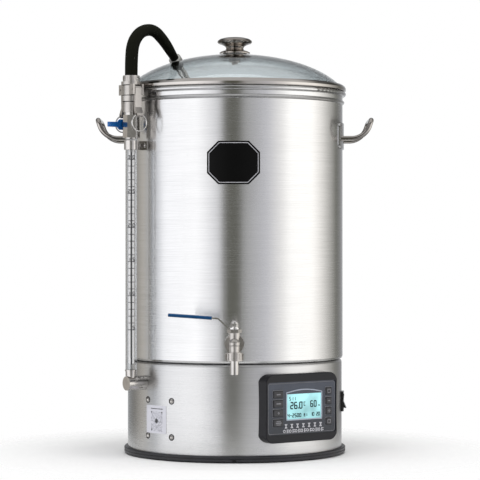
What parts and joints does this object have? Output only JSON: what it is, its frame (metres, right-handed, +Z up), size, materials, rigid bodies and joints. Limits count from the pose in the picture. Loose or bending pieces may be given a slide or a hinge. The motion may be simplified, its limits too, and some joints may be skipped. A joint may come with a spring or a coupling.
{
  "type": "electric brew kettle",
  "caption": "All-in-one electric brew kettle: brushed steel vessel with glass lid, malt basket, recirculation pump, sight tube, cam-lock hose, ball tap and control panel.",
  "frame": {"origin": "on the floor, on the axis of the vessel", "axes": "+Z up along the vessel axis; the tap and badge face -Y; the control panel is front right (+X, -Y) and the sight tube front left (-X, -Y)"},
  "size_m": [0.442, 0.4226, 0.6788],
  "materials": {
    "vessel_steel": "brushed round the vessel",
    "cover_steel": "satin",
    "fitting_steel": "turned satin",
    "cast_steel": "bead-blasted casting",
    "strap_steel": "pressed strip",
    "wire_steel": "drawn wire",
    "handle_steel": "polished rod",
    "ring_steel": "polished",
    "knob_steel": "turned and polished",
    "basket_steel": "satin",
    "heater_steel": "matt",
    "ring_plastic": "fine grain",
    "bezel_plastic": "fine grain",
    "slate_plastic": "printed film",
    "button_rubber": "soft",
    "display": "backlit display window",
    "circuit_board": "solder mask",
    "pump_plastic": "moulded",
    "impeller_plastic": "moulded",
    "switch_plastic": "glossy",
    "blue_plastic": "moulded",
    "blue_vinyl": "dipped vinyl",
    "badge_black": "satin lacquer",
    "label_silver": "printed foil",
    "lid_glass": "clear, faint blue",
    "tube_clear": "clear",
    "silicone": "translucent white",
    "foot_rubber": "matt",
    "hose_rubber": "matt"
  },
  "bodies": {
    "kettle": {"vessel": "vessel_steel", "base_shell": "vessel_steel", "base_ring": "ring_plastic", "bottom_cover": "cover_steel", "feet": "foot_rubber", "heating_element": "heater_steel", "temperature_sensors": "heater_steel", "pump_motor": "pump_plastic", "pump_volute": "pump_plastic", "pump_pipes": "fitting_steel", "sight_tube": "tube_clear", "tube_nuts": "fitting_steel", "tube_bracket": "fitting_steel", "screws": "fitting_steel", "recirc_valve_body": "fitting_steel", "coupler": "cast_steel", "handle_left": "handle_steel", "handle_right": "handle_steel", "handle_plates": "vessel_steel", "tap_bulkhead": "fitting_steel", "tap_gasket": "silicone", "tap_body": "cast_steel", "tap_union_nut": "cast_steel", "tap_spout": "fitting_steel", "badge": "badge_black", "label_plate": "label_silver", "panel_bezel": "bezel_plastic", "face_plate": "slate_plastic", "lcd_display": "display", "control_board": "circuit_board", "switch_housing": "switch_plastic", "mains_inlet": "switch_plastic"},
    "tap_handle": {"tap_ball": "fitting_steel", "tap_lever": "strap_steel", "tap_lever_sleeve": "blue_vinyl"},
    "recirc_handle": {"recirc_valve_ball": "fitting_steel", "recirc_lever": "blue_plastic"},
    "cam_arm_front": {"cam_arm_front": "cast_steel"},
    "cam_arm_back": {"cam_arm_back": "cast_steel"},
    "pull_ring_front": {"pull_ring_front": "wire_steel"},
    "pull_ring_back": {"pull_ring_back": "wire_steel"},
    "power_rocker": {"power_rocker": "switch_plastic"},
    "pump_impeller": {"pump_impeller": "impeller_plastic"},
    "malt_pipe": {"malt_pipe": "basket_steel", "malt_pipe_screen": "basket_steel"},
    "lid": {"lid_glass": "lid_glass", "lid_ring": "ring_steel", "knob": "knob_steel", "lid_seals": "silicone", "return_pipe": "fitting_steel", "hose": "hose_rubber", "hose_adapter": "cast_steel"},
    "button_left_1": {"button_left_1": "button_rubber"},
    "button_left_2": {"button_left_2": "button_rubber"},
    "button_left_3": {"button_left_3": "button_rubber"},
    "button_left_4": {"button_left_4": "button_rubber"},
    "button_right_1": {"button_right_1": "button_rubber"},
    "button_right_2": {"button_right_2": "button_rubber"},
    "button_right_3": {"button_right_3": "button_rubber"},
    "button_right_4": {"button_right_4": "button_rubber"}
  },
  "joints": [
    {"name": "malt_pipe_lift", "type": "slide", "parent": "kettle", "child": "malt_pipe", "axis": [0, 0, 1], "range_m": [0, 0.42]},
    {"name": "lid_lift", "type": "slide", "parent": "malt_pipe", "child": "lid", "axis": [0, 0, 1], "range_m": [0, 0.25]},
    {"name": "tap_lever_turn", "type": "hinge", "parent": "kettle", "child": "tap_handle", "pos_m": [0, -0.213, 0.21], "axis": [0, 0, 1], "range_deg": [0, 90]},
    {"name": "recirc_lever_turn", "type": "hinge", "parent": "kettle", "child": "recirc_handle", "pos_m": [-0.16034, -0.11185, 0.52], "axis": [0.5721, -0.8202, 0], "range_deg": [0, 90]},
    {"name": "cam_arm_front_swing", "type": "hinge", "parent": "kettle", "child": "cam_arm_front", "pos_m": [-0.15027, -0.12629, 0.573], "axis": [-0.8202, -0.5721, 0], "range_deg": [0, 95]},
    {"name": "cam_arm_back_swing", "type": "hinge", "parent": "kettle", "child": "cam_arm_back", "pos_m": [-0.17041, -0.09742, 0.573], "axis": [0.8202, 0.5721, 0], "range_deg": [0, 95]},
    {"name": "pull_ring_front_swing", "type": "hinge", "parent": "cam_arm_front", "child": "pull_ring_front", "pos_m": [-0.14695, -0.13105, 0.5335], "axis": [-0.8202, -0.5721, 0], "range_deg": [-8, 60]},
    {"name": "pull_ring_back_swing", "type": "hinge", "parent": "cam_arm_back", "child": "pull_ring_back", "pos_m": [-0.17373, -0.09266, 0.5335], "axis": [0.8202, 0.5721, 0], "range_deg": [0, 60]},
    {"name": "power_rocker_tilt", "type": "hinge", "parent": "kettle", "child": "power_rocker", "pos_m": [0.17175, -0.01805, 0.0828], "axis": [0.1045, 0.9945, 0], "range_deg": [0, 14]},
    {"name": "impeller_spin", "type": "hinge", "parent": "kettle", "child": "pump_impeller", "pos_m": [-0.07885, -0.0233, 0.115], "axis": [0, 0, 1], "continuous": true},
    {"name": "button_left_1_press", "type": "slide", "parent": "kettle", "child": "button_left_1", "axis": [-0.5878, 0.809, 0], "range_m": [0, 0.001], "stiffness_N_per_m": 400},
    {"name": "button_left_2_press", "type": "slide", "parent": "kettle", "child": "button_left_2", "axis": [-0.5878, 0.809, 0], "range_m": [0, 0.001], "stiffness_N_per_m": 400},
    {"name": "button_left_3_press", "type": "slide", "parent": "kettle", "child": "button_left_3", "axis": [-0.5878, 0.809, 0], "range_m": [0, 0.001], "stiffness_N_per_m": 400},
    {"name": "button_left_4_press", "type": "slide", "parent": "kettle", "child": "button_left_4", "axis": [-0.5878, 0.809, 0], "range_m": [0, 0.001], "stiffness_N_per_m": 400},
    {"name": "button_right_1_press", "type": "slide", "parent": "kettle", "child": "button_right_1", "axis": [-0.5878, 0.809, 0], "range_m": [0, 0.001], "stiffness_N_per_m": 400},
    {"name": "button_right_2_press", "type": "slide", "parent": "kettle", "child": "button_right_2", "axis": [-0.5878, 0.809, 0], "range_m": [0, 0.001], "stiffness_N_per_m": 400},
    {"name": "button_right_3_press", "type": "slide", "parent": "kettle", "child": "button_right_3", "axis": [-0.5878, 0.809, 0], "range_m": [0, 0.001], "stiffness_N_per_m": 400},
    {"name": "button_right_4_press", "type": "slide", "parent": "kettle", "child": "button_right_4", "axis": [-0.5878, 0.809, 0], "range_m": [0, 0.001], "stiffness_N_per_m": 400}
  ]
}
